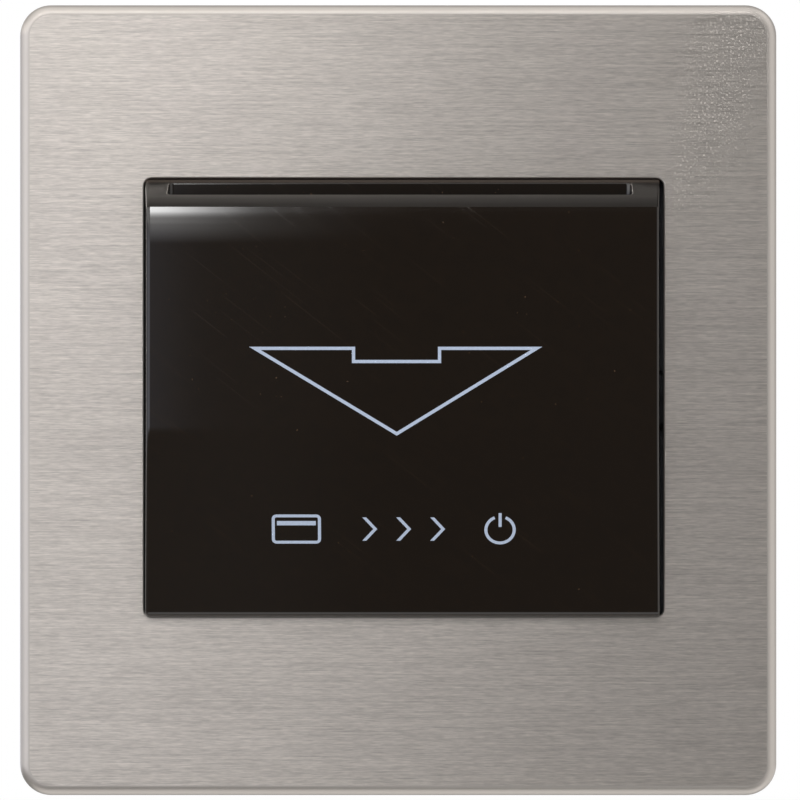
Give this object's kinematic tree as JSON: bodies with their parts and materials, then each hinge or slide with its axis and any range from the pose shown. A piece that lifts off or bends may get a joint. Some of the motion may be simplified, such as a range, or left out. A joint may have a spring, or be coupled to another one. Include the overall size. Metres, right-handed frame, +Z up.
{
  "type": "key card switch",
  "caption": "Wall switch with a square brushed steel plate and a wedge-shaped gloss black front whose top slot takes a key card that presses a sprung lever against a snap switch.",
  "frame": {"origin": "middle of the wall plate on the wall plane, midway between the two wall screws", "axes": "+X to the right seen from the room, +Z up, +Y into the wall"},
  "size_m": [0.09, 0.0457, 0.094],
  "materials": {
    "steel_face": "horizontally brushed stainless steel with a polished rolled edge",
    "frame_plastic": "satin moulded",
    "yoke_steel": "zinc plated",
    "screw_steel": "nickel plated",
    "gloss_black": "gloss black moulded, satin on top",
    "guide_plastic": "satin moulded",
    "housing_plastic": "off-white moulded",
    "lever_plastic": "natural acetal",
    "spring_steel": "drawn wire",
    "switch_plastic": "black thermoset",
    "button_plastic": "red moulded",
    "tab_brass": "stamped",
    "strap_copper": "stamped copper",
    "terminal_brass": "machined"
  },
  "bodies": {
    "switch_body": {"face_plate": "steel_face", "plate_frame": "frame_plastic", "mounting_yoke": "yoke_steel", "wall_screws": "screw_steel", "front_cover": "gloss_black", "card_guide": "guide_plastic", "guide_screws": "screw_steel", "mechanism_housing": "housing_plastic", "rear_cover": "housing_plastic", "rear_cover_screws": "screw_steel", "lever_pin": "screw_steel", "lever_spring": "spring_steel", "switch_case": "switch_plastic", "switch_tabs": "tab_brass", "switch_screws": "screw_steel", "strap_common": "strap_copper", "strap_open": "strap_copper", "strap_closed": "strap_copper", "terminal_common": "terminal_brass", "terminal_open": "terminal_brass", "terminal_closed": "terminal_brass", "terminal_screws": "screw_steel"},
    "lever": {"card_lever": "lever_plastic"},
    "button": {"switch_button": "button_plastic"}
  },
  "joints": [
    {"name": "lever_pivot", "type": "hinge", "parent": "switch_body", "child": "lever", "pos_m": [0, -0.0034, 0.012], "axis": [1, 0, 0], "range_deg": [0, 21], "stiffness_Nm_per_rad": 0.012, "springref_deg": -20.05, "deforming": ["lever_spring"]},
    {"name": "button_slide", "type": "slide", "parent": "switch_body", "child": "button", "axis": [0, 1, 0], "range_m": [0, 0.00191]}
  ],
  "couplings": [
    {"joint": "button_slide", "follows": "lever_pivot", "m_per_rad": 0.0052}
  ]
}
